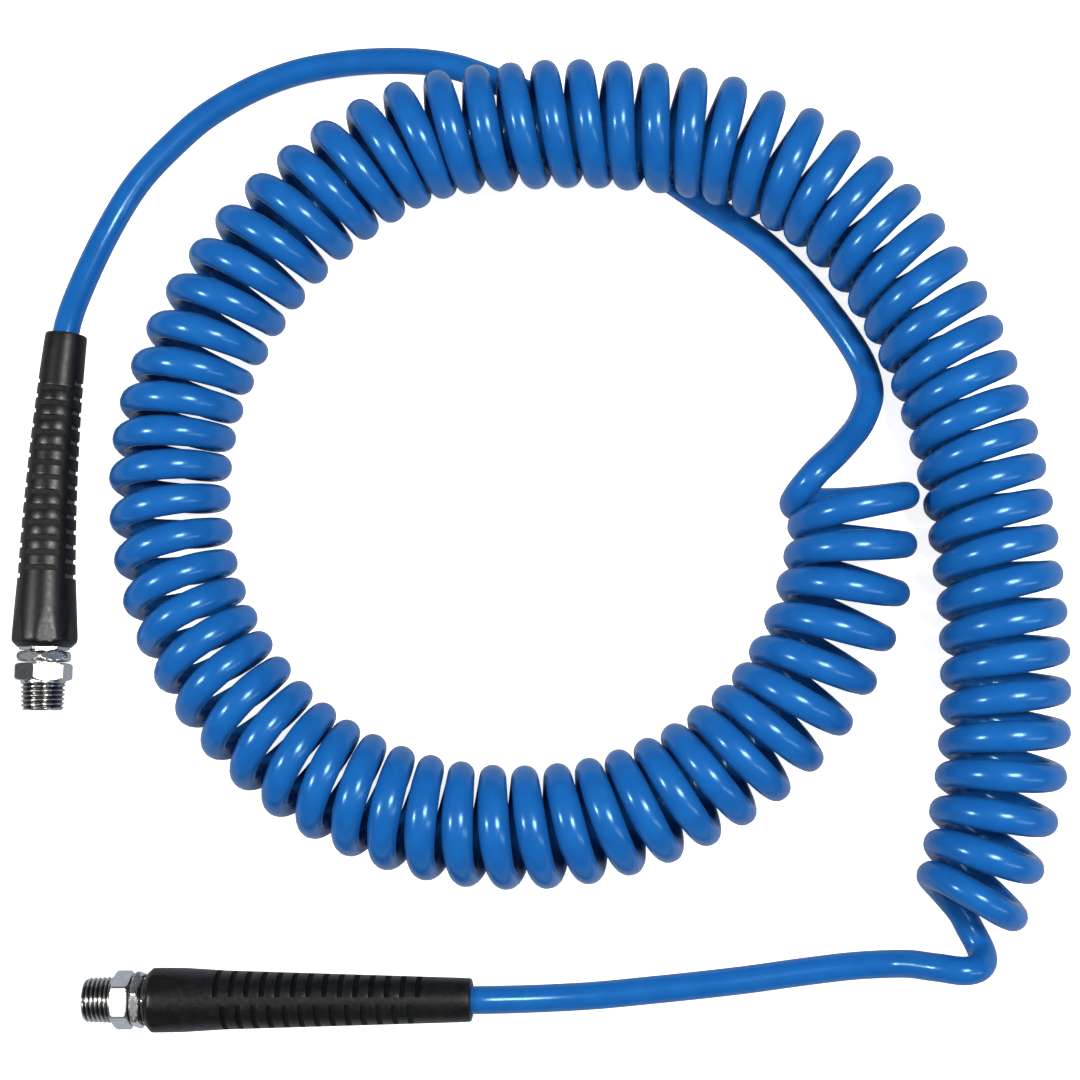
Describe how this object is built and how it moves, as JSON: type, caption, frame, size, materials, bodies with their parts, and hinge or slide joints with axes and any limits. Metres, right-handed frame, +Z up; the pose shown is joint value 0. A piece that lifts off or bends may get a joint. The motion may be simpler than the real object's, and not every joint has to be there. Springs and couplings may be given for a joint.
{
  "type": "coiled air hose",
  "caption": "Blue coiled polyurethane air hose lying in a ring, with a swivelling male taper-thread fitting and a slotted rubber bend sleeve on each end.",
  "frame": {"origin": "on the surface the hose lies on, under the middle of its bounding box", "axes": "+X from the end of fitting B towards the coil's last turn, the longest side; +Y across the ring, from fitting B's straight end towards the far side of the ring; +Z up from the surface"},
  "size_m": [0.3094, 0.2966, 0.0456],
  "materials": {
    "polyurethane": "clear blue polyurethane, glossy",
    "nickel_plated_brass": "bright nickel plating on machined brass",
    "plain_brass": "machined brass",
    "spring_steel": "dark spring steel",
    "sleeve_rubber": "satin black moulded rubber",
    "seal_rubber": "matt black nitrile rubber",
    "slide_plastic": "natural acetal"
  },
  "bodies": {
    "hose": {"hose_coil": "polyurethane", "hose_tail_a": "polyurethane", "hose_tail_b": "polyurethane", "hose_stem_a": "nickel_plated_brass", "union_nut_a": "nickel_plated_brass", "o_ring_a": "seal_rubber", "snap_ring_a": "spring_steel", "slide_washer_a": "slide_plastic", "clamp_ferrule_a": "plain_brass", "bend_sleeve_a": "sleeve_rubber", "hose_stem_b": "nickel_plated_brass", "union_nut_b": "nickel_plated_brass", "o_ring_b": "seal_rubber", "snap_ring_b": "spring_steel", "slide_washer_b": "slide_plastic", "clamp_ferrule_b": "plain_brass", "bend_sleeve_b": "sleeve_rubber"},
    "swivel_a": {"swivel_nipple_a": "nickel_plated_brass"},
    "swivel_b": {"swivel_nipple_b": "nickel_plated_brass"}
  },
  "joints": [
    {"name": "swivel_turn_a", "type": "hinge", "parent": "hose", "child": "swivel_a", "pos_m": [-0.1442, -0.0549, 0.0097], "axis": [0.0087, 1, 0], "continuous": true},
    {"name": "swivel_turn_b", "type": "hinge", "parent": "hose", "child": "swivel_b", "pos_m": [-0.129, -0.1395, 0.0097], "axis": [1, 0.0087, 0], "continuous": true}
  ]
}
